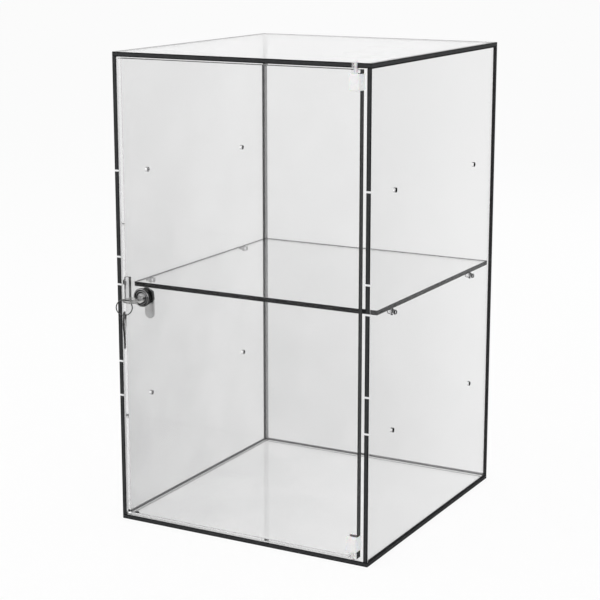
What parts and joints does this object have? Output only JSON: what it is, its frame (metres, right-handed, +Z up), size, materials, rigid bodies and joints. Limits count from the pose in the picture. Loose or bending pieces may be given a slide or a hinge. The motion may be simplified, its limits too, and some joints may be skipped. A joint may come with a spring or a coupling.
{
  "type": "acrylic display case",
  "caption": "Clear acrylic display case with a hinged front door, a cam lock with key, and a loose shelf on pegs in drilled side panels.",
  "frame": {"origin": "middle of the base panel's underside, level with the surface the case stands on", "axes": "+X to the right seen from the front, +Y from the door to the back, +Z up"},
  "size_m": [0.304, 0.3505, 0.511],
  "materials": {
    "clear_acrylic": "clear cast acrylic sheet with polished edges",
    "hinge_plastic": "frosted clear moulded plastic",
    "peg_plastic": "clear moulded plastic",
    "lock_chrome": "polished chrome plate",
    "zinc_steel": "zinc-plated steel",
    "key_nickel": "nickel-plated, softly brushed",
    "ring_steel": "bright steel wire"
  },
  "bodies": {
    "case": {"bottom_panel": "clear_acrylic", "top_panel": "clear_acrylic", "back_panel": "clear_acrylic", "left_side_panel": "clear_acrylic", "right_side_panel": "clear_acrylic", "left_front_peg": "peg_plastic", "left_rear_peg": "peg_plastic", "right_front_peg": "peg_plastic", "right_rear_peg": "peg_plastic", "catch_block": "clear_acrylic", "door_stop": "clear_acrylic"},
    "shelf": {"shelf": "clear_acrylic"},
    "door": {"door_panel": "clear_acrylic", "upper_hinge_clip": "hinge_plastic", "lower_hinge_clip": "hinge_plastic", "upper_hinge_pin": "hinge_plastic", "lower_hinge_pin": "hinge_plastic", "lock_housing": "lock_chrome", "lock_nut": "zinc_steel", "lock_washer": "zinc_steel"},
    "lock_plug": {"lock_plug": "lock_chrome", "lock_cam": "zinc_steel", "cam_screw": "zinc_steel"},
    "key": {"key": "key_nickel"},
    "key_ring": {"key_ring": "ring_steel"},
    "spare_key": {"spare_key": "key_nickel"}
  },
  "joints": [
    {"name": "door_hinge", "type": "hinge", "parent": "case", "child": "door", "pos_m": [0.1315, -0.1535, 0.255], "axis": [0, 0, 1], "range_deg": [0, 110]},
    {"name": "lock_turn", "type": "hinge", "parent": "door", "child": "lock_plug", "pos_m": [-0.118, -0.1575, 0.2525], "axis": [0, 1, 0], "range_deg": [0, 90]},
    {"name": "key_slide", "type": "slide", "parent": "lock_plug", "child": "key", "axis": [0, -1, 0], "range_m": [0, 0.015]},
    {"name": "ring_turn", "type": "hinge", "parent": "key", "child": "key_ring", "pos_m": [-0.12414, -0.18298, 0.24588], "axis": [-0.4787, 0.878, 0], "range_deg": [-25, 25]},
    {"name": "spare_key_swing", "type": "hinge", "parent": "key_ring", "child": "spare_key", "pos_m": [-0.12414, -0.18298, 0.23748], "axis": [0.878, 0.4787, 0], "range_deg": [-30, 30]},
    {"name": "shelf_lift", "type": "slide", "parent": "case", "child": "shelf", "axis": [0, 0, 1], "range_m": [0, 0.1]}
  ]
}
